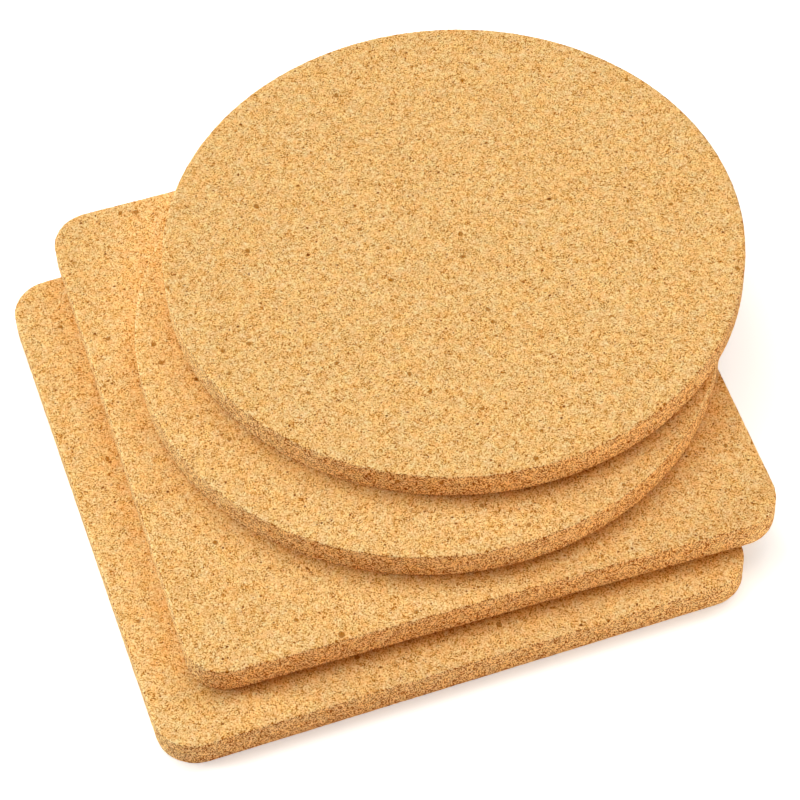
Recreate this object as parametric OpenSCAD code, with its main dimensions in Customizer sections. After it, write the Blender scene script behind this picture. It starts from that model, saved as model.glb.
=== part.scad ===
// Four loose cork trivets, two rounded squares and two rounds, in a fanned stack.
// The origin is the centre of the lowest underside and +Z points up.
// X runs along the near edge of the lowest square and +Y runs away from the viewer.

/* [Cork sheet] */
// Thickness of the cork sheet that all four trivets are cut from
sheet_thickness = 10; // [6:0.5:16]
// Radius of the sanded edge round the top and bottom faces
edge_radius = 0.5; // [0.2:0.1:2.5]

/* [Square trivets] */
// Side of the square trivets
square_side = 190; // [140:1:240]
// Radius of their corners, seen from above
corner_radius = 13; // [6:0.5:30]

/* [Round trivets] */
// Diameter of the round trivets
round_diameter = 188; // [140:1:240]

/* [Places in the stack] */
// How far the upper square lies to the right of the lower square
upper_square_right = 17; // [-40:0.5:40]
// How far the upper square lies behind the lower square
upper_square_back = 13.5; // [-40:0.5:40]
// Angle that the upper square is turned by, clockwise seen from above
upper_square_turn = 1.4; // [-45:0.1:45]
// How far the lower round lies to the right of the upper square
lower_round_right = 11.5; // [-30:0.5:30]
// How far the lower round lies behind the upper square
lower_round_back = 8.5; // [-30:0.5:30]
// How far the upper round lies to the right of the lower round
upper_round_right = 15.5; // [-30:0.5:30]
// How far the upper round lies behind the lower round
upper_round_back = 18.5; // [-30:0.5:30]

/* [Hidden] */

// Segments in a full circle
$fn = 96;

// Cork, a little darker on the squares than on the rounds
square_color = [0.85, 0.66, 0.42];
round_color = [0.90, 0.71, 0.45];

// Sweep of a disc, and of the part disc in a square's corner
full_sweep = 360;
corner_sweep = 90;

// Places of the upper three trivets: each lies on the one below it
upper_square_at = [upper_square_right, upper_square_back, sheet_thickness];
lower_round_at = upper_square_at + [lower_round_right, lower_round_back, sheet_thickness];
upper_round_at = lower_round_at + [upper_round_right, upper_round_back, sheet_thickness];

// Half of the sheet's section from its middle out to a sanded rim: a flat top
// and underside, a plain cut wall, and a quarter circle at each of the two edges.
module rim_section(reach) {
    flat = reach - edge_radius;
    square([flat, sheet_thickness]);
    translate([0, edge_radius]) square([reach, sheet_thickness - 2 * edge_radius]);
    for (height = [edge_radius, sheet_thickness - edge_radius])
        translate([flat, height]) circle(r = edge_radius);
}

// Both halves of that section, as far as a sheet's full width
module sheet_section(width) {
    rim_section(width / 2);
    mirror([1, 0]) rim_section(width / 2);
}

// Sheet turned about +Z: a whole disc, or the quarter disc of a square's corner
module turned_sheet(radius, sweep) {
    rotate_extrude(angle = sweep) rim_section(radius);
}

// A strip of sheet along Y with its two long rims sanded and its ends cut plain
module strip_sheet(width, length) {
    rotate([90, 0, 0])
        linear_extrude(height = length, center = true) sheet_section(width);
}

// A square of sheet: two strips cross, and a quarter disc fills each corner, so
// that one unbroken sanded edge runs along the sides and round the corners.
module square_sheet(side, corner) {
    straight = side - 2 * corner;
    for (turn = [0, corner_sweep]) rotate(turn) strip_sheet(side, straight);
    for (quarter = [0:3])
        rotate(quarter * corner_sweep)
            translate([straight / 2, straight / 2]) turned_sheet(corner, corner_sweep);
}

module lower_square() {
    color(square_color) square_sheet(square_side, corner_radius);
}

module upper_square() {
    color(square_color)
        translate(upper_square_at) rotate(-upper_square_turn) square_sheet(square_side, corner_radius);
}

module lower_round() {
    color(round_color)
        translate(lower_round_at) turned_sheet(round_diameter / 2, full_sweep);
}

module upper_round() {
    color(round_color)
        translate(upper_round_at) turned_sheet(round_diameter / 2, full_sweep);
}

lower_square();
upper_square();
lower_round();
upper_round();
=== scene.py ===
import math

import bpy
import numpy as np
from bpy.props import (
    FloatProperty,
    FloatVectorProperty,
    IntProperty,
    PointerProperty,
)
from mathutils import Matrix, Vector
from mathutils.geometry import delaunay_2d_cdt


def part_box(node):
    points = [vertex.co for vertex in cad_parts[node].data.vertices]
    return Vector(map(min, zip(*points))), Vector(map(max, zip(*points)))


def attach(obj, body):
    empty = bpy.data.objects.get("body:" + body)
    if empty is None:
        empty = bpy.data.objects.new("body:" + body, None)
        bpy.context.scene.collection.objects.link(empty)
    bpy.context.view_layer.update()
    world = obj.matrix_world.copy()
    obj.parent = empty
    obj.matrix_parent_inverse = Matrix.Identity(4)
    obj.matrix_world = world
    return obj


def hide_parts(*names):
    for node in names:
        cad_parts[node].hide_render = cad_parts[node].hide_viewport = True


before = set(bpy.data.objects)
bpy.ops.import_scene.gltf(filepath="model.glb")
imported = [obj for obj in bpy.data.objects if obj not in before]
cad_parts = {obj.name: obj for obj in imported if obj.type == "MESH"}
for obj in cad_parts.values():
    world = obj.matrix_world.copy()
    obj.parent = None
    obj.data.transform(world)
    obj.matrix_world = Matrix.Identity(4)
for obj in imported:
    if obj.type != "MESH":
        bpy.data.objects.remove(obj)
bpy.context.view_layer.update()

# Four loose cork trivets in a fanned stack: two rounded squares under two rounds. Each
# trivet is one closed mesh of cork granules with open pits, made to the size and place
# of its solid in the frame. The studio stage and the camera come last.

bl_info = {
    "name": "Cork Trivets",
    "version": (1, 0, 0),
    "blender": (4, 5, 0),
    "location": "3D View > Sidebar > Cork Trivets",
    "description": "Granular cork trivets, square and round, in a fanned stack",
    "category": "Object",
}

MILLIMETRES_PER_METRE = 1000.0
QUARTER_TURN = math.pi / 2
FULL_TURN = 2 * math.pi
WHITE = (1.0, 1.0, 1.0, 1.0)

# Which surface of a trivet a granule belongs to
TOP_FACE, UNDER_FACE, RIM = 0, 1, 2

# Names of the mesh attributes that the geometry nodes and the cork material read
ZONE, WALL, PIT, BARK = "zone", "wall", "pit", "bark"


# Settings

def length_setting(name, description, default):
    return FloatProperty(
        name=name, description=description, default=default,
        min=0.0, precision=5, unit="LENGTH", subtype="DISTANCE",
    )


def angle_setting(name, description, degrees):
    return FloatProperty(
        name=name, description=description, default=math.radians(degrees),
        subtype="ANGLE", unit="ROTATION",
    )


def share_setting(name, description, default):
    return FloatProperty(
        name=name, description=description, default=default,
        min=0.0, max=1.0, subtype="FACTOR",
    )


def amount_setting(name, description, default):
    return FloatProperty(name=name, description=description, default=default, min=0.0)


def colour_setting(name, description, default):
    return FloatVectorProperty(
        name=name, description=description, default=default,
        min=0.0, max=1.0, size=3, subtype="COLOR",
    )


class SlabSettings(bpy.types.PropertyGroup):
    corner_radius: length_setting(
        "Corner radius", "Radius of a square trivet's corners, seen from above", 0.013)
    edge_radius: length_setting(
        "Edge radius", "Radius of the sanded edge round the top and underside", 0.0005)
    upper_square_turn: angle_setting(
        "Upper square turn", "Clockwise turn of the upper square, seen from above", 1.4)
    granule: length_setting(
        "Granule size", "Distance between neighbouring granules on the top face", 0.0015)
    under_granule: length_setting(
        "Granule size below", "Distance between neighbouring granules on the underside", 0.003)
    rim_granule: length_setting(
        "Granule size on the rim", "Distance between neighbouring granules round the rim", 0.0012)
    unevenness: length_setting(
        "Unevenness", "How far the sanded granules lie below the true surface at most", 0.00004)
    rim_unevenness: amount_setting(
        "Rim unevenness", "How much more uneven the cut rim is than the faces", 2.75)
    pit_share: share_setting(
        "Pits on the faces", "Share of the granules that have fallen out and left a pit", 0.016)
    rim_pit_share: share_setting(
        "Pits on the rim", "Share of the rim's granules that have left a pit", 0.07)
    pore_share: share_setting(
        "Pores", "Share of the granules with a small open pore", 0.07)
    pit_depth: length_setting(
        "Pit depth", "Depth of the deepest pits", 0.0007)
    bark_share: share_setting(
        "Bark granules", "Share of the granules that are dark with bark", 0.0025)
    seed: IntProperty(
        name="Seed", description="Seed of everything random in the slabs", default=7, min=0)


class CorkSettings(bpy.types.PropertyGroup):
    pale: colour_setting("Pale", "Palest grain", (1.0, 0.73, 0.35))
    straw: colour_setting("Straw", "Light grain", (0.95, 0.562, 0.217))
    tan: colour_setting("Tan", "Most common colour of the cork", (0.825, 0.45, 0.149))
    brown: colour_setting("Brown", "Darker grain", (0.64, 0.27, 0.045))
    dark: colour_setting("Dark", "Dark grain", (0.45, 0.122, 0.005))
    umber: colour_setting("Umber", "Darkest grain", (0.26, 0.06, 0.001))
    bark: colour_setting("Bark", "Granules with bark in them", (0.38, 0.12, 0.005))
    # Pit: painted shade inside pits and pores
    pit: colour_setting("Pit", "Inside of pits and pores", (0.36, 0.085, 0.002))
    # Rim tint: partly the cut cork's own deeper colour, partly painted shade that warms the rims
    # lying in shade
    rim_tint_and_shade: colour_setting(
        "Rim tint", "Colour that the cut rim is deepened by", (1.0, 0.965, 0.93))
    roughness: share_setting("Roughness", "Roughness of the sanded cork", 0.9)


class StageSettings(bpy.types.PropertyGroup):
    camera_distance: length_setting(
        "Camera distance", "From the camera to its target", 0.9977)
    camera_azimuth: angle_setting(
        "Camera azimuth", "Turn of the camera round the stack", -16.58)
    camera_elevation: angle_setting(
        "Camera elevation", "Height of the camera above the horizon", 52.89)
    camera_roll: angle_setting(
        "Camera roll", "Roll of the camera about its line of sight", -2.84)
    camera_target: FloatVectorProperty(
        name="Camera target", description="Point in the middle of the picture",
        default=(0.01163, 0.0006, 0.019), size=3, subtype="TRANSLATION", unit="LENGTH")
    lens: FloatProperty(
        name="Lens", description="Focal length in millimetres", default=140.9, min=1.0)
    ground_colour: colour_setting("Ground", "Colour of the ground", (0.9, 0.9, 0.9))
    ground_glow: amount_setting(
        "Ground glow", "Light that the ground adds of its own, so that it is white", 0.5)
    brightness: amount_setting(
        "Brightness", "Strength of all the lights together", 1.015)


# Outlines

# Smallest reach that an angle is taken over, in millimetres
TINY = 1e-9


def turned(points, quarter_turns):
    """Points turned counter-clockwise about the origin by whole quarter turns."""
    angle = quarter_turns * QUARTER_TURN
    cosine, sine = np.cos(angle), np.sin(angle)
    return np.stack([
        points[:, 0] * cosine - points[:, 1] * sine,
        points[:, 0] * sine + points[:, 1] * cosine,
    ], axis=1)


class RoundOutline:
    """A round trivet's outline, walked counter-clockwise by its length in millimetres."""

    def __init__(self, radius):
        self.radius = radius
        self.length = FULL_TURN * radius

    def walk(self, along):
        """Points on the outline and their outward normals."""
        angle = along / self.radius
        normals = np.stack([np.cos(angle), np.sin(angle)], axis=1)
        return self.radius * normals, normals

    def locate(self, points):
        """Each point's place along the outline and its depth inside it."""
        along = np.arctan2(points[:, 1], points[:, 0]) % FULL_TURN * self.radius
        return along, self.radius - np.hypot(points[:, 0], points[:, 1])


class SquareOutline:
    """A square trivet's outline with round corners, walked like the round one's."""

    def __init__(self, side, corner_radius):
        self.half = side / 2
        self.corner = corner_radius
        self.straight = side - 2 * corner_radius
        self.quarter = self.straight + QUARTER_TURN * corner_radius
        self.length = 4 * self.quarter

    def walk(self, along):
        turns, rest = np.divmod(along, self.quarter)
        angle = np.clip((rest - self.straight) / self.corner, 0, None)
        middle = self.straight / 2
        x = middle + self.corner * np.cos(angle)
        y = np.minimum(rest, self.straight) - middle + self.corner * np.sin(angle)
        return (
            turned(np.stack([x, y], axis=1), turns),
            turned(np.stack([np.cos(angle), np.sin(angle)], axis=1), turns),
        )

    def locate(self, points):
        # Each point is turned back to the quarter that starts at the right side
        turns = np.floor(np.arctan2(points[:, 1], points[:, 0]) / QUARTER_TURN + 0.5) % 4
        x, y = turned(points, -turns).T
        middle = self.straight / 2
        beyond = y > middle
        before = y < -middle
        angle = np.arctan2(np.abs(y) - middle, np.maximum(x - middle, TINY))
        angle = np.clip(angle, 0, QUARTER_TURN)
        rest = np.clip(y, -middle, middle) + middle
        rest = np.where(beyond, self.straight + self.corner * angle, rest)
        rest = np.where(before, -self.corner * angle, rest)
        in_corner = (beyond | before) & (x > middle)
        reach = np.hypot(np.maximum(x - middle, 0), np.maximum(np.abs(y) - middle, 0))
        depth = np.where(in_corner, self.corner - reach, self.half - x)
        return (turns * self.quarter + rest) % self.length, depth


# Slab meshes

def read_values(collection, name, kind, width=1):
    """One value, or one row of values, from each item of a mesh's collection."""
    values = np.zeros(len(collection) * width, kind)
    collection.foreach_get(name, values)
    return values if width == 1 else values.reshape(-1, width)


def map_layout(outline_length, width, rim_height):
    """Scales and places on the bake map: a large top face, a smaller underside, rim strips."""
    margin = 0.006
    top_share = 0.61
    under_share = 0.355
    top_scale = top_share / width
    under_scale = under_share / width
    top_middle = margin + top_share / 2
    under_middle = under_share / 2 + margin

    # The rim lies in strips above the faces, and granules reach past a strip's ends
    strip_count = 4
    overhang = 1.02
    strips_left = margin * 1.5
    strips_bottom = top_share + 3 * margin
    strip_length = outline_length / strip_count
    rim_scale = min(top_scale, top_share / (strip_length * overhang))
    row = rim_height * rim_scale + margin
    strips = [(strips_left, strips_bottom + number * row) for number in range(strip_count)]
    faces = {
        TOP_FACE: (top_scale, top_middle, top_middle),
        UNDER_FACE: (under_scale, 1 - margin - under_share / 2, under_middle),
    }
    return faces, (rim_scale, strips, strip_length)


class Slab:
    """One trivet: its outline in millimetres about its centre, and where it lies."""

    def __init__(self, node, outline, turn, settings, seed):
        low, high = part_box(node)
        self.node = node
        self.outline = outline
        self.settings = settings
        self.thickness = (high.z - low.z) * MILLIMETRES_PER_METRE
        self.edge = settings.edge_radius * MILLIMETRES_PER_METRE
        self.rng = np.random.default_rng(seed)
        middle = (low + high) / 2
        self.placed = (
            Matrix.Translation((middle.x, middle.y, low.z))
            @ Matrix.Rotation(-turn, 4, "Z")
            @ Matrix.Scale(1 / MILLIMETRES_PER_METRE, 4)
        )

    def profile(self):
        """Rows of the rim from the top face to the underside: inset, height and wall share."""
        steps_round_edge = 3
        cell = self.settings.rim_granule * MILLIMETRES_PER_METRE
        rows = []
        for step in range(steps_round_edge):
            angle = QUARTER_TURN * step / steps_round_edge
            rows.append((
                self.edge * (1 - math.sin(angle)),
                self.thickness - self.edge * (1 - math.cos(angle)),
                math.sin(angle),
            ))
        plain = self.thickness - 2 * self.edge
        wall_rows = round(plain / cell)
        for step in range(wall_rows + 1):
            rows.append((0.0, self.thickness - self.edge - plain * step / wall_rows, 1.0))
        mirrored = rows[:steps_round_edge][::-1]
        rows += [(inset, self.thickness - height, wall) for inset, height, wall in mirrored]
        return rows

    def rim(self):
        """The rim's seeds, row by row, with every other row shifted by half a step."""
        rows = self.profile()
        cell = self.settings.rim_granule * MILLIMETRES_PER_METRE
        columns = round(self.outline.length / cell)
        step = self.outline.length / columns
        wobble = 0.25
        points, walls = [], []
        for number, (inset, height, wall) in enumerate(rows):
            outermost = number in (0, len(rows) - 1)
            along = (np.arange(columns) + 0.5 * (number % 2)) * step
            along += self.rng.uniform(-wobble, wobble, columns) * step * (not outermost)
            heights = np.full(columns, height)
            # Rows between two others of the plain wall also stray up and down
            if all(rows[near][2] == 1.0 for near in (number, number - 1, number + 1)):
                heights += self.rng.uniform(-wobble, wobble, columns) * cell
            place, normal = self.outline.walk(along % self.outline.length)
            place = place - normal * inset
            points.append(np.column_stack([place, heights]))
            walls.append(np.full(columns, wall))
        faces = []
        here = np.arange(columns)
        after = (here + 1) % columns
        for number in range(len(rows) - 1):
            upper, lower = number * columns, (number + 1) * columns
            if number % 2 == 0:
                faces.append(np.column_stack([upper + here, lower + here, upper + after]))
                faces.append(np.column_stack([upper + after, lower + here, lower + after]))
            else:
                faces.append(np.column_stack([upper + here, lower + here, lower + after]))
                faces.append(np.column_stack([upper + here, lower + after, upper + after]))
        return np.vstack(points), np.concatenate(walls), np.vstack(faces), columns

    def face_seeds(self, cell):
        """Seeds inside a flat face: a jittered triangular lattice clear of its border."""
        reach = self.outline.length / 4
        row_step = cell * math.sqrt(3) / 2
        wobble = 0.3
        clearance = 0.6
        rows = np.arange(-reach, reach, row_step)
        columns = np.arange(-reach, reach, cell)
        x, y = np.meshgrid(columns, rows)
        x = x + (np.arange(len(rows)) % 2)[:, None] * cell / 2
        seeds = np.column_stack([x.ravel(), y.ravel()])
        seeds += self.rng.uniform(-wobble, wobble, seeds.shape) * cell
        depth = self.outline.locate(seeds)[1]
        return seeds[depth > self.edge + clearance * cell]

    def flat_face(self, border, cell):
        """Seeds inside a flat face, and triangles that join them and the border row."""
        seeds = self.face_seeds(cell)
        points = np.vstack([border, seeds])
        # Only what lies inside the border is kept
        kept_inside, tolerance = 1, 1e-7
        _, _, faces, origins, _, _ = delaunay_2d_cdt(
            [Vector(point) for point in points], [], [list(range(len(border)))],
            kept_inside, tolerance)
        source = [found[0] for found in origins]
        return seeds, np.array([[source[corner] for corner in face] for face in faces])

    def seed_mesh(self):
        """A closed mesh of triangles with one vertex at the middle of each granule."""
        rim, walls, rim_faces, columns = self.rim()
        top_cell = self.settings.granule * MILLIMETRES_PER_METRE
        under_cell = self.settings.under_granule * MILLIMETRES_PER_METRE
        top_seeds, top_faces = self.flat_face(rim[:columns, :2], top_cell)
        under_seeds, under_faces = self.flat_face(rim[-columns:, :2], under_cell)
        top = np.column_stack([top_seeds, np.full(len(top_seeds), self.thickness)])
        under = np.column_stack([under_seeds, np.zeros(len(under_seeds))])
        # The top's border is the rim's first row, and the underside's is its last
        top_index = np.concatenate([np.arange(columns), np.arange(len(top)) + len(rim)])
        under_index = np.concatenate([
            np.arange(len(rim) - columns, len(rim)),
            np.arange(len(under)) + len(rim) + len(top),
        ])
        points = np.vstack([rim, top, under])
        faces = np.vstack([rim_faces, top_index[top_faces], under_index[under_faces][:, ::-1]])
        zones = np.repeat([RIM, TOP_FACE, UNDER_FACE], [len(rim), len(top), len(under)])
        walls = np.concatenate([walls, np.zeros(len(top) + len(under))])
        mesh = bpy.data.meshes.new(self.node + "_seeds")
        mesh.from_pydata(points.tolist(), [], faces.tolist())
        for name, kind, values in (
            (ZONE, "INT", zones.astype(np.int32)),
            (WALL, "FLOAT", walls.astype(np.float32)),
        ):
            mesh.attributes.new(name, kind, "POINT").data.foreach_set("value", values)
        return mesh

    def profile_length(self, depth, height):
        """Length of the rim's section from the underside up to each point."""
        edge = self.edge
        top_angle = np.arctan2(height - (self.thickness - edge), edge - depth)
        low_angle = np.arctan2(edge - height, edge - depth)
        up = height.copy()
        above = height > self.thickness - edge
        below = height < edge
        up[above] = self.thickness - edge + edge * np.clip(top_angle[above], 0, QUARTER_TURN)
        up[below] = edge - edge * np.clip(low_angle[below], 0, QUARTER_TURN)
        return up + edge * (QUARTER_TURN - 1)

    def map_for_baking(self, mesh):
        """Lays the top face, the underside and the rim side by side on one map."""
        points = read_values(mesh.vertices, "co", np.float32, 3).astype(float)
        corners = read_values(mesh.loops, "vertex_index", np.int32)
        starts = read_values(mesh.polygons, "loop_start", np.int32)
        sizes = read_values(mesh.polygons, "loop_total", np.int32)
        zones = read_values(mesh.attributes[ZONE].data, "value", np.int32)
        owner = np.repeat(np.arange(len(starts)), sizes)
        zone = zones[owner]
        place = points[corners]

        # Along the outline, corners are placed from the middle of their own granule
        along, depth = self.outline.locate(place[:, :2])
        middle = np.add.reduceat(place, starts) / sizes[:, None]
        middle_along = self.outline.locate(middle[:, :2])[0][owner]
        half = self.outline.length / 2
        along = (along - middle_along + half) % self.outline.length - half
        up = self.profile_length(depth, place[:, 2])
        faces, (rim_scale, strips, strip_length) = map_layout(
            self.outline.length, 2 * place[:, :2].max(), up.max())

        uv = np.zeros((len(corners), 2))
        for face, (scale, *centre) in faces.items():
            on_face = zone == face
            uv[on_face] = np.array(centre) + place[on_face, :2] * scale
        on_rim = zone == RIM
        number = np.minimum(middle_along // strip_length, len(strips) - 1).astype(int)
        origin = np.array(strips)[number]
        offset = middle_along - number * strip_length
        uv[on_rim, 0] = (origin[:, 0] + (offset + along) * rim_scale)[on_rim]
        uv[on_rim, 1] = (origin[:, 1] + up * rim_scale)[on_rim]
        layer = mesh.uv_layers.new(name="OFBake", do_init=False)
        layer.uv.foreach_set("vector", uv.astype(np.float32).ravel())


# Node trees

class Graph:
    """Adds nodes to one node tree and links them."""

    def __init__(self, tree):
        self.tree = tree
        tree.nodes.clear()

    def add(self, kind, inputs=None, **options):
        node = self.tree.nodes.new(kind)
        for name, value in options.items():
            setattr(node, name, value)
        for name, value in (inputs or {}).items():
            self.feed(node.inputs[name], value)
        return node

    def feed(self, socket, value):
        if isinstance(value, bpy.types.NodeSocket):
            self.tree.links.new(value, socket)
        else:
            socket.default_value = value

    def sum(self, operation, first, second=0.0, third=0.0):
        return self.add("ShaderNodeMath", {0: first, 1: second, 2: third},
                        operation=operation).outputs[0]

    def vector_sum(self, operation, first, second):
        return self.add("ShaderNodeVectorMath", {0: first, 1: second},
                        operation=operation).outputs[0]

    def scaled(self, vector, factor):
        return self.add("ShaderNodeVectorMath", {0: vector, "Scale": factor},
                        operation="SCALE").outputs[0]


# Granules

# Name of the tree of nodes that turns seeds into granules
GRANULE_TREE = "Cork granules"

# Wall share above which a granule is clear of the round edge
PLAIN_WALL = 0.99

# Spans that holes are drawn from: the mouth's share of its granule, and the depth's share of
# the deepest pit
PIT_MOUTH = (0.3, 0.58)
PIT_DEPTH = (0.45, 1.0)
PORE_MOUTH = (0.22, 0.42)
PORE_DEPTH = (0.25, 0.5)
# Spans of what a mouth keeps of its width in one direction, and of the floor's share of it
NARROW_MOUTH = (0.55, 1.0)
FLOOR = (0.5, 0.8)


class GranuleGraph(Graph):
    """Geometry nodes that draw granules at random and sink holes into them."""

    # The Random Value node's sockets share their names, so they go by number
    LOW_VECTOR, HIGH_VECTOR, LOW, HIGH, PROBABILITY, SEED = 0, 1, 2, 3, 6, 8
    DRAWN_VECTOR, DRAWN_NUMBER, DRAWN_TRUTH = 0, 1, 3

    def random(self, low, high, seed):
        return self.add("FunctionNodeRandomValue", {
            self.LOW: low, self.HIGH: high, self.SEED: seed,
        }, data_type="FLOAT").outputs[self.DRAWN_NUMBER]

    def chance(self, probability, seed):
        return self.add("FunctionNodeRandomValue", {
            self.PROBABILITY: probability, self.SEED: seed,
        }, data_type="BOOLEAN").outputs[self.DRAWN_TRUTH]

    def named(self, name, kind="FLOAT"):
        return self.add(
            "GeometryNodeInputNamedAttribute", {0: name}, data_type=kind).outputs[0]

    def logic(self, operation, first, second=False):
        return self.add("FunctionNodeBooleanMath", {0: first, 1: second},
                        operation=operation).outputs[0]

    def store(self, geometry, name, value):
        return self.add("GeometryNodeStoreNamedAttribute", {
            "Geometry": geometry, "Name": name, "Value": value,
        }, data_type="FLOAT", domain="FACE").outputs[0]

    def shrink(self, geometry, selection, span, seed):
        """Draws each selected face together by a random share of its size."""
        return self.add("GeometryNodeScaleElements", {
            "Geometry": geometry, "Selection": selection,
            "Scale": self.random(*span, seed),
        }, domain="FACE", scale_mode="UNIFORM").outputs[0]

    def narrow(self, geometry, selection, inward, span, seed):
        """Draws each selected face together along one random direction in its own plane."""
        anywhere = self.add("FunctionNodeRandomValue", {
            self.LOW_VECTOR: (-1.0,) * 3, self.HIGH_VECTOR: (1.0,) * 3, self.SEED: seed,
        }, data_type="FLOAT_VECTOR").outputs[self.DRAWN_VECTOR]
        return self.add("GeometryNodeScaleElements", {
            "Geometry": geometry, "Selection": selection,
            "Scale": self.random(*span, seed),
            "Axis": self.vector_sum("CROSS_PRODUCT", anywhere, inward),
        }, domain="FACE", scale_mode="SINGLE_AXIS").outputs[0]

    def sink(self, geometry, selection, inward, mouth_span, depth_span, deepest, seed):
        """Sinks a hole into each selected face: its mouth, its walls, then its floor."""
        later_seed = self.sum("ADD", seed, 1)
        lip = self.add("GeometryNodeExtrudeMesh", {
            "Mesh": geometry, "Selection": selection, "Offset Scale": 0.0, "Individual": True,
        }, mode="FACES")
        mouth = self.shrink(lip.outputs["Mesh"], lip.outputs["Top"], mouth_span, seed)
        mouth = self.narrow(mouth, lip.outputs["Top"], inward, NARROW_MOUTH, later_seed)
        low, high = (self.sum("MULTIPLY", deepest, depth) for depth in depth_span)
        hole = self.add("GeometryNodeExtrudeMesh", {
            "Mesh": mouth, "Selection": lip.outputs["Top"], "Offset": inward,
            "Offset Scale": self.random(low, high, seed), "Individual": True,
        }, mode="FACES")
        floor = self.shrink(hole.outputs["Mesh"], hole.outputs["Top"], FLOOR, later_seed)
        # The hole's walls and floor are marked as pit, where the cork material paints shade
        inside = self.logic("OR", hole.outputs["Top"], hole.outputs["Side"])
        return self.store(floor, PIT, self.sum("MAXIMUM", self.named(PIT), inside))


def granule_tree():
    """Turns a mesh of seeds into granules, some of them sunk into open pits and pores."""
    tree = bpy.data.node_groups.new(GRANULE_TREE, "GeometryNodeTree")
    face = tree.interface
    face.new_socket("Geometry", in_out="INPUT", socket_type="NodeSocketGeometry")
    for name in ("Unevenness", "Rim unevenness", "Pit share", "Rim pit share", "Pore share",
                 "Bark share", "Pit depth"):
        face.new_socket(name, in_out="INPUT", socket_type="NodeSocketFloat")
    face.new_socket("Seed", in_out="INPUT", socket_type="NodeSocketInt")
    face.new_socket("Cork", in_out="INPUT", socket_type="NodeSocketMaterial")
    face.new_socket("Geometry", in_out="OUTPUT", socket_type="NodeSocketGeometry")
    graph = GranuleGraph(tree)
    given = graph.add("NodeGroupInput").outputs
    granules = graph.add("GeometryNodeDualMesh", {"Mesh": given["Geometry"]}).outputs[0]

    # Each draw has a seed of its own, and a hole takes the one after it too
    surface_seed, pit_chance_seed, pore_chance_seed, bark_seed, pit_seed, pore_seed = (
        graph.sum("ADD", given["Seed"], step) for step in (0, 1, 2, 3, 4, 6))

    # Sanding leaves each corner of a granule a hair below the true surface
    inward = graph.scaled(graph.add("GeometryNodeInputNormal").outputs[0], -1.0)
    on_rim = graph.sum("GREATER_THAN", graph.named(ZONE, "INT"), RIM - 0.5)
    on_face = graph.sum("SUBTRACT", 1.0, on_rim)
    rougher = graph.sum("MULTIPLY_ADD", on_rim, given["Rim unevenness"], 1.0)
    sunk = graph.random(0.0, graph.sum("MULTIPLY", given["Unevenness"], rougher), surface_seed)
    granules = graph.add("GeometryNodeSetPosition", {
        "Geometry": granules, "Offset": graph.scaled(inward, sunk)}).outputs[0]

    # Some granules have fallen out and others have a pore, but the narrow round edge is whole
    pit_share = graph.sum("ADD", graph.sum("MULTIPLY", on_face, given["Pit share"]),
                          graph.sum("MULTIPLY", on_rim, given["Rim pit share"]))
    flat = graph.sum("MAXIMUM", on_face,
                     graph.sum("GREATER_THAN", graph.named(WALL), PLAIN_WALL))
    fallen = graph.logic("AND", flat, graph.chance(pit_share, pit_chance_seed))
    porous = graph.logic("AND", flat, graph.chance(given["Pore share"], pore_chance_seed))
    whole = graph.logic("NOT", fallen)
    granules = graph.store(granules, BARK, graph.logic(
        "AND", whole, graph.chance(given["Bark share"], bark_seed)))
    granules = graph.store(granules, PIT, False)
    pitted = graph.sink(granules, fallen, inward, PIT_MOUTH, PIT_DEPTH,
                        given["Pit depth"], pit_seed)
    pored = graph.sink(pitted, graph.logic("AND", whole, porous), inward, PORE_MOUTH,
                       PORE_DEPTH, given["Pit depth"], pore_seed)
    smooth = graph.add("GeometryNodeSetShadeSmooth", {"Geometry": pored})
    real = graph.add("GeometryNodeRealizeInstances", {"Geometry": smooth.outputs[0]})
    dressed = graph.add("GeometryNodeSetMaterial", {
        "Geometry": real.outputs[0], "Material": given["Cork"]})
    graph.add("NodeGroupOutput", {0: dressed.outputs[0]})
    return tree


# Cork

# How much finer the grain is across a pressed sheet than along it
GRAIN_FLATNESS = 1.25

# Scales of the patterns, per millimetre
GRANULE_SCALE = 0.75
BEND_SCALE = 0.7
GRIT_SCALE = 2.3
PATCH_SCALE = 0.3
# Roughness of the noise in grit and patches, and the span that a noise mostly keeps to
FINE_NOISE = 0.6
NOISE_SPAN = (0.3, 0.7)

# How far the granules' borders are bent, in millimetres
BEND = 1.3
# Axis that the grain is turned about in each granule, and the most that it turns, in radians
GRAIN_AXIS = (0.2, 0.3, 1.0)
GRAIN_TURN = 6.28
# How much the turned grain is drawn together along each axis, which makes streaks of it
STREAK_SCALE = (0.9, 2.4, 1.6)

# Pairs of a value on the sanded faces and one on the cut rim: the parts of streaks and grit
# in the tone, the tone's contrast, the tone it spreads from, and the depth of bumps in metres
STREAK_PART = (2.07, 2.1)
GRIT_PART = (1.93, 2.7)
# On the rim, the stronger contrast is partly the cut grain's own and partly painted light and
# shade of its relief
CONTRAST_AND_RELIEF_SHADE = (1.0, 4.7)
MIDDLE_TONE = (0.62, 0.73)
BUMP_DEPTH = (0.00004, 0.00015)

# Parts of the granules and the patches in the tone
GRANULE_PART = 0.25
PATCH_PART = 0.15
# Span of what the contrast is multiplied by from patch to patch
PATCH_CONTRAST = (0.85, 1.15)
# Places on the tone's ramp of umber, dark, brown, tan, straw and pale
TONE_PLACES = (0.0, 0.12, 0.27, 0.54, 0.7, 1.0)

# Tints of pale and of warm patches, and how strongly the patches take them
PALE_PATCH = (0.965, 1.02, 1.13)
WARM_PATCH = (1.035, 0.98, 0.87)
PATCH_WARMTH = 2.3
# Tints that lean to pink and to green, and how strongly granules and patches take them
PINK = (1.02, 0.98, 1.04)
GREEN = (0.98, 1.02, 0.96)
GRANULE_LEAN = 0.25
PATCH_LEAN = 1.4
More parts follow.
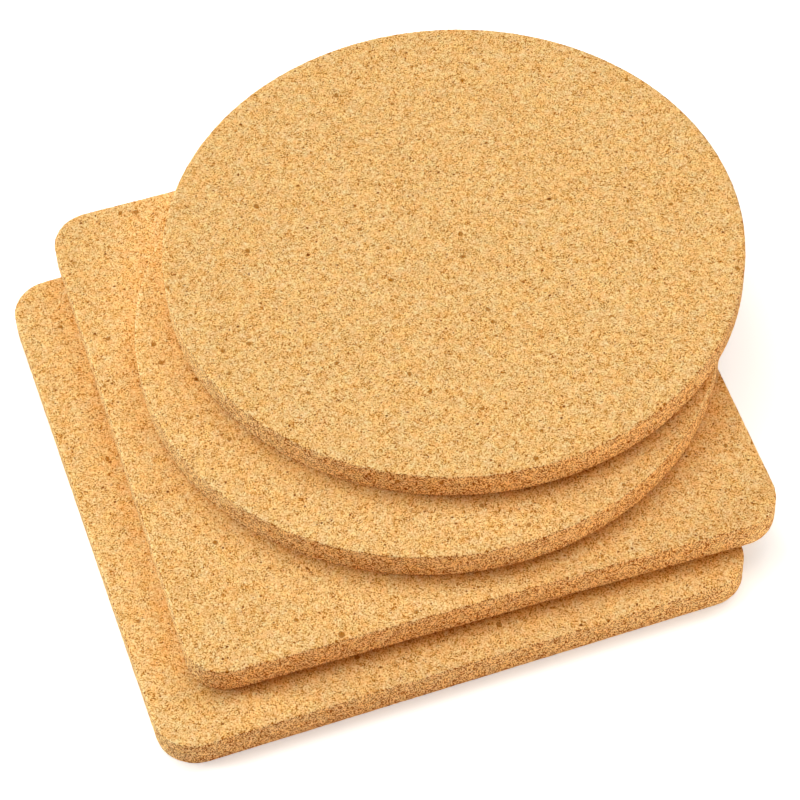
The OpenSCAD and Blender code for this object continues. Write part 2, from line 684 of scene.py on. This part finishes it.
# How fully bark, and the painted shade inside pits and pores, cover the colour of the grain
BARK_COVER = 0.8
PIT_SHADE_COVER = 0.9

# How far the roughness strays either way, and the gloss
ROUGHNESS_SPREAD = 0.08
GLOSS = 0.05


class ShaderGraph(Graph):
    """Shader nodes with the mixes and patterns that the cork needs."""

    # The Mix node's sockets share their names, so they go by number
    FACTOR, FIRST_COLOUR, SECOND_COLOUR = 0, 6, 7
    MIXED_COLOUR = 2

    def noise(self, place, scale, roughness=0.5):
        return self.add("ShaderNodeTexNoise", {
            "Vector": place, "Scale": scale, "Detail": 1.0, "Roughness": roughness})

    def channels(self, colour):
        return self.add("ShaderNodeSeparateColor", {0: colour}).outputs

    def attribute(self, name):
        return self.add("ShaderNodeAttribute", attribute_name=name).outputs["Fac"]

    def ramp(self, factor, places, colours):
        node = self.add("ShaderNodeValToRGB", {"Fac": factor})
        elements = node.color_ramp.elements
        while len(elements) < len(places):
            elements.new(0.5)
        for element, position, value in zip(elements, places, colours):
            element.position = position
            element.color = (*value, 1.0)
        return node.outputs["Color"]

    def spread(self, value, span, new_span):
        return self.add("ShaderNodeMapRange", {
            "Value": value, "From Min": span[0], "From Max": span[1],
            "To Min": new_span[0], "To Max": new_span[1]}).outputs["Result"]

    def between(self, share, pair):
        """The value at a share of the way from the first of a pair to the second."""
        return self.spread(share, (0.0, 1.0), pair)

    def swayed(self, value, pattern, part):
        """A value moved up and down by a part of a pattern that has its middle at a half."""
        return self.sum("MULTIPLY_ADD", self.sum("SUBTRACT", pattern, 0.5), part, value)

    def mix(self, factor, first, second, blend="MIX"):
        first, second = (
            (*value, 1.0) if isinstance(value, tuple) else value for value in (first, second))
        return self.add("ShaderNodeMix", {
            self.FACTOR: factor, self.FIRST_COLOUR: first, self.SECOND_COLOUR: second,
        }, data_type="RGBA", blend_type=blend).outputs[self.MIXED_COLOUR]

    def tinted(self, colour, tint):
        return self.mix(1.0, colour, tint, "MULTIPLY")


def cork_material(name, settings, shift, turn):
    """Agglomerated cork: fine streaked grain that runs its own way in each granule."""
    material = bpy.data.materials.new(name)
    material.use_nodes = True
    graph = ShaderGraph(material.node_tree)

    # Places in millimetres
    place = graph.add("ShaderNodeMapping", {
        "Vector": graph.add("ShaderNodeTexCoord").outputs["Object"],
        "Location": shift,
        "Rotation": (0.0, 0.0, turn),
        "Scale": MILLIMETRES_PER_METRE * Vector((1.0, 1.0, GRAIN_FLATNESS)),
    }).outputs[0]
    bend = graph.vector_sum(
        "SUBTRACT", graph.noise(place, BEND_SCALE).outputs["Color"], (0.5,) * 3)
    bent = graph.vector_sum("ADD", place, graph.scaled(bend, BEND))

    # Granules differ in tone, in hue and in the way their grain runs
    granule = graph.add("ShaderNodeTexVoronoi", {"Vector": bent, "Scale": GRANULE_SCALE})
    tone_of, hue_of, turn_of = graph.channels(granule.outputs["Color"])
    turned_place = graph.add("ShaderNodeVectorRotate", {
        "Vector": place, "Axis": GRAIN_AXIS, "Angle": graph.sum("MULTIPLY", turn_of, GRAIN_TURN),
    }, rotation_type="AXIS_ANGLE").outputs[0]
    streaks = graph.noise(graph.vector_sum("MULTIPLY", turned_place, STREAK_SCALE), 1.0)
    grit = graph.noise(place, GRIT_SCALE, FINE_NOISE).outputs[0]
    patches = graph.noise(place, PATCH_SCALE, FINE_NOISE)
    patch_tone, patch_hue, patch_contrast = graph.channels(patches.outputs["Color"])

    # The cut rim shows more contrast than the sanded faces: partly its own grain, partly painted
    # light and shade of its relief
    wall = graph.attribute(WALL)
    contrast = graph.sum("MULTIPLY", graph.between(wall, CONTRAST_AND_RELIEF_SHADE),
                         graph.spread(patch_contrast, NOISE_SPAN, PATCH_CONTRAST))
    tone = graph.swayed(0.0, streaks.outputs[0], graph.between(wall, STREAK_PART))
    tone = graph.swayed(tone, grit, graph.between(wall, GRIT_PART))
    tone = graph.swayed(tone, tone_of, GRANULE_PART)
    tone = graph.swayed(tone, patch_tone, PATCH_PART)
    tone = graph.sum("MULTIPLY_ADD", tone, contrast, graph.between(wall, MIDDLE_TONE))
    colour = graph.ramp(tone, TONE_PLACES, (
        settings.umber, settings.dark, settings.brown,
        settings.tan, settings.straw, settings.pale,
    ))

    # Patches are paler or warmer, and granules lean a little to pink or to green
    warmth = graph.swayed(0.5, patch_hue, PATCH_WARMTH)
    colour = graph.tinted(colour, graph.mix(warmth, PALE_PATCH, WARM_PATCH))
    lean = graph.swayed(0.5, hue_of, GRANULE_LEAN)
    lean = graph.swayed(lean, patch_contrast, PATCH_LEAN)
    colour = graph.tinted(colour, graph.mix(lean, PINK, GREEN))
    # The rim is tinted: partly the cut cork's own deeper colour, partly painted shade
    colour = graph.mix(wall, colour, graph.tinted(colour, tuple(settings.rim_tint_and_shade)))

    # Bark, and painted shade inside the pits and pores
    for attribute, cover, covering in (
        (BARK, BARK_COVER, settings.bark),
        (PIT, PIT_SHADE_COVER, settings.pit),
    ):
        covered = graph.sum("MULTIPLY", graph.attribute(attribute), cover)
        colour = graph.mix(covered, colour, tuple(covering))

    rough = graph.spread(grit, NOISE_SPAN, (
        settings.roughness - ROUGHNESS_SPREAD, settings.roughness + ROUGHNESS_SPREAD))
    bump = graph.add("ShaderNodeBump", {
        "Height": grit, "Strength": 1.0, "Distance": graph.between(wall, BUMP_DEPTH)})
    surface = graph.add("ShaderNodeBsdfPrincipled", {
        "Base Color": colour, "Roughness": rough, "Normal": bump.outputs[0],
        "Specular IOR Level": GLOSS})
    graph.add("ShaderNodeOutputMaterial", {"Surface": surface.outputs[0]})
    return material


# Pieces

# Steps from one trivet to the next, so that each has its own part of the grain: the grain's
# shift in millimetres, its turn in radians, and the seed of what is random
SHIFT_STEP = 400.0
TURN_STEP = 0.7
SEED_STEP = 10
# Level of the grain that every top face cuts, so that all look alike
TOP_LEVEL = 2450.0


def cut_granules(context, piece, values):
    """Turns a mesh of seeds into granules, and keeps the result as a plain mesh."""
    modifier = piece.modifiers.new("Granules", "NODES")
    modifier.node_group = bpy.data.node_groups.get(GRANULE_TREE) or granule_tree()
    for item in modifier.node_group.interface.items_tree:
        if item.in_out == "INPUT" and item.name in values:
            modifier[item.identifier] = values[item.name]
    evaluated = piece.evaluated_get(context.evaluated_depsgraph_get())
    mesh = bpy.data.meshes.new_from_object(evaluated)
    piece.modifiers.remove(modifier)
    piece.data = mesh


def make_trivet(context, node, outline, turn, number):
    """Makes one cork trivet in the place of its solid and hands it to the frame."""
    settings = context.scene.cork_slabs
    seed = settings.seed + number * SEED_STEP
    slab = Slab(node, outline, turn, settings, seed)
    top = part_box(node)[1].z * MILLIMETRES_PER_METRE
    shift = (SHIFT_STEP * number, SHIFT_STEP * (number + 1), TOP_LEVEL - GRAIN_FLATNESS * top)
    cork = cork_material("Cork " + node.replace("_", " "), context.scene.cork_colours,
                         shift, TURN_STEP * number)
    piece = bpy.data.objects.new(node + "_cork", slab.seed_mesh())
    context.scene.collection.objects.link(piece)
    cut_granules(context, piece, {
        "Unevenness": settings.unevenness * MILLIMETRES_PER_METRE,
        "Rim unevenness": settings.rim_unevenness,
        "Pit share": settings.pit_share,
        "Rim pit share": settings.rim_pit_share,
        "Pore share": settings.pore_share,
        "Bark share": settings.bark_share,
        "Pit depth": settings.pit_depth * MILLIMETRES_PER_METRE,
        "Seed": seed,
        "Cork": cork,
    })
    slab.map_for_baking(piece.data)
    piece.data.transform(slab.placed)
    piece.data.update()
    if len(piece.data.materials) != 1:
        raise RuntimeError(node + " should carry one cork material")
    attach(piece, node)
    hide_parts(node)


def width_of(node):
    low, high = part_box(node)
    return (high.x - low.x) * MILLIMETRES_PER_METRE


class CORK_OT_square_trivets(bpy.types.Operator):
    """Make the two rounded square trivets at the bottom of the stack"""

    bl_idname = "cork.square_trivets"
    bl_label = "Square Trivets"

    def execute(self, context):
        settings = context.scene.cork_slabs
        corner = settings.corner_radius * MILLIMETRES_PER_METRE
        # Both squares are cut alike, and the lower one lies true to the frame
        outline = SquareOutline(width_of("lower_square"), corner)
        make_trivet(context, "lower_square", outline, 0.0, 1)
        make_trivet(context, "upper_square", outline, settings.upper_square_turn, 2)
        return {"FINISHED"}


class CORK_OT_round_trivets(bpy.types.Operator):
    """Make the two round trivets at the top of the stack"""

    bl_idname = "cork.round_trivets"
    bl_label = "Round Trivets"

    def execute(self, context):
        outline = RoundOutline(width_of("lower_round") / 2)
        make_trivet(context, "lower_round", outline, 0.0, 3)
        make_trivet(context, "upper_round", outline, 0.0, 4)
        return {"FINISHED"}


# Stage

# Soft suns: elevation, azimuth and width in degrees, share of the light on level ground, tint.
# Azimuths run counter-clockwise from +X. Most of the light comes from above and behind, and the
# low suns light the rims. The high sun is warm, and the cool light comes from the back and the
# back right, so that shadows stay warm and the open tops neutral.
SUNS = (
    ("High", 75.5, 75, 27, 0.225, (1.0, 0.82, 0.63)),
    ("Back", 58, 108, 30, 0.18, (1.0, 1.18, 1.3)),
    ("Back right", 50, 33, 35, 0.24, (1.0, 1.05, 1.08)),
    ("Back left", 45, 160, 30, 0.16, (1.0, 0.98, 0.92)),
    ("Left", 10.5, 150, 20, 0.13, (1.0, 1.1, 1.06)),
    ("Front", 4.5, 290, 12, 0.03, (1.0, 0.6, 0.4)),
)
# Lamp close to the front right corner, so that the near rims get lighter from left to right.
# Place, aim and width are in metres, and the power is in watts.
LAMP_PLACE = Vector((0.24, -0.3, 0.05))
LAMP_AIM = Vector((0.03, 0.0, 0.02))
LAMP_WIDTH = 0.1
LAMP_POWER = 0.23
LAMP_TINT = (1.0, 1.0, 0.72)


def stage_camera(context, settings):
    """Sets the camera at the photograph's angle."""
    azimuth, elevation = settings.camera_azimuth, settings.camera_elevation
    back = Vector((
        math.sin(azimuth) * math.cos(elevation),
        -math.cos(azimuth) * math.cos(elevation),
        math.sin(elevation),
    ))
    level = (-back).cross(Vector((0, 0, 1))).normalized()
    upright = level.cross(-back)
    roll = settings.camera_roll
    right = math.cos(roll) * level + math.sin(roll) * upright
    up = -math.sin(roll) * level + math.cos(roll) * upright
    data = bpy.data.cameras.new("Camera")
    data.lens = settings.lens
    data.sensor_width = 36.0
    camera = bpy.data.objects.new("Camera", data)
    context.scene.collection.objects.link(camera)
    place = Matrix((right, up, back)).transposed().to_4x4()
    place.translation = Vector(settings.camera_target) + back * settings.camera_distance
    camera.matrix_world = place
    context.scene.camera = camera


def stage_ground(context, settings):
    """Lays a white ground that still takes the stack's shadow."""
    reach = 3.0
    mesh = bpy.data.meshes.new("Ground")
    corners = [(-reach, -reach, 0), (reach, -reach, 0), (reach, reach, 0), (-reach, reach, 0)]
    mesh.from_pydata(corners, [], [(0, 1, 2, 3)])
    ground = bpy.data.objects.new("Ground", mesh)
    context.scene.collection.objects.link(ground)
    material = bpy.data.materials.new("White ground")
    material.use_nodes = True
    graph = ShaderGraph(material.node_tree)
    diffuse = graph.add("ShaderNodeBsdfDiffuse", {"Color": (*settings.ground_colour, 1.0)})
    glow = graph.add("ShaderNodeEmission", {"Color": WHITE, "Strength": settings.ground_glow})
    seen = graph.add("ShaderNodeLightPath").outputs
    direct = graph.sum("MAXIMUM", seen["Is Camera Ray"], seen["Is Glossy Ray"])
    lit = graph.add("ShaderNodeAddShader", {0: diffuse.outputs[0], 1: glow.outputs[0]})
    surface = graph.add("ShaderNodeMixShader", {
        0: direct, 1: diffuse.outputs[0], 2: lit.outputs[0]})
    graph.add("ShaderNodeOutputMaterial", {"Surface": surface.outputs[0]})
    mesh.materials.append(material)


def direction(elevation, azimuth):
    """Unit vector towards a light at the given angles in degrees."""
    elevation, azimuth = math.radians(elevation), math.radians(azimuth)
    return Vector((
        math.cos(elevation) * math.cos(azimuth),
        math.cos(elevation) * math.sin(azimuth),
        math.sin(elevation),
    ))


def add_light(context, kind, name, energy, tint, towards):
    """Adds a light that shines from the given direction."""
    data = bpy.data.lights.new(name, kind)
    data.energy = energy
    data.color = tint
    light = bpy.data.objects.new(name, data)
    context.scene.collection.objects.link(light)
    light.rotation_euler = towards.to_track_quat("Z", "Y").to_euler()
    return light


def stage_light(context, settings):
    """Lights the stack with soft suns and a near lamp, and shows white behind it."""
    world = bpy.data.worlds.new("Studio")
    world.use_nodes = True
    context.scene.world = world
    graph = ShaderGraph(world.node_tree)
    seen = graph.add("ShaderNodeLightPath").outputs["Is Camera Ray"]
    white = graph.add("ShaderNodeBackground", {"Color": WHITE, "Strength": seen})
    graph.add("ShaderNodeOutputWorld", {"Surface": white.outputs[0]})

    # Straight down, a sun of pi watts a square metre lights white ground to full white
    for name, elevation, azimuth, width, level, tint in SUNS:
        towards = direction(elevation, azimuth)
        energy = math.pi * level * settings.brightness / towards.z
        sun = add_light(context, "SUN", name, energy, tint, towards)
        sun.data.angle = math.radians(width)

    lamp = add_light(context, "AREA", "Front right", LAMP_POWER * settings.brightness,
                     LAMP_TINT, LAMP_PLACE - LAMP_AIM)
    lamp.data.shape = "DISK"
    lamp.data.size = LAMP_WIDTH
    lamp.location = LAMP_PLACE
    lamp.visible_camera = False


class CORK_OT_stage(bpy.types.Operator):
    """Set the ground, the light and the camera"""

    bl_idname = "cork.stage"
    bl_label = "Stage"

    def execute(self, context):
        settings = context.scene.cork_stage
        stage_ground(context, settings)
        stage_light(context, settings)
        stage_camera(context, settings)
        context.scene.view_settings.view_transform = "Standard"
        return {"FINISHED"}


class CORK_PT_trivets(bpy.types.Panel):
    """Sizes, colours and steps of the cork trivets"""

    bl_idname = "CORK_PT_trivets"
    bl_label = "Cork Trivets"
    bl_space_type = "VIEW_3D"
    bl_region_type = "UI"
    bl_category = "Cork Trivets"

    def draw(self, context):
        layout = self.layout
        scene = context.scene
        for title, settings in (
            ("Slabs", scene.cork_slabs),
            ("Colours", scene.cork_colours),
            ("Stage", scene.cork_stage),
        ):
            box = layout.box()
            box.label(text=title)
            for name in settings.__annotations__:
                box.prop(settings, name)
        for operator in OPERATORS:
            layout.operator(operator.bl_idname)


SETTINGS = {
    "cork_slabs": SlabSettings,
    "cork_colours": CorkSettings,
    "cork_stage": StageSettings,
}
OPERATORS = (CORK_OT_square_trivets, CORK_OT_round_trivets, CORK_OT_stage)


def register():
    for name, group in SETTINGS.items():
        bpy.utils.register_class(group)
        setattr(bpy.types.Scene, name, PointerProperty(type=group))
    for operator in OPERATORS:
        bpy.utils.register_class(operator)
    bpy.utils.register_class(CORK_PT_trivets)


def unregister():
    bpy.utils.unregister_class(CORK_PT_trivets)
    for operator in reversed(OPERATORS):
        bpy.utils.unregister_class(operator)
    for name, group in reversed(SETTINGS.items()):
        delattr(bpy.types.Scene, name)
        bpy.utils.unregister_class(group)


def main():
    register()
    bpy.ops.cork.square_trivets()
    bpy.ops.cork.round_trivets()
    bpy.ops.cork.stage()


if __name__ == "__main__":
    main()
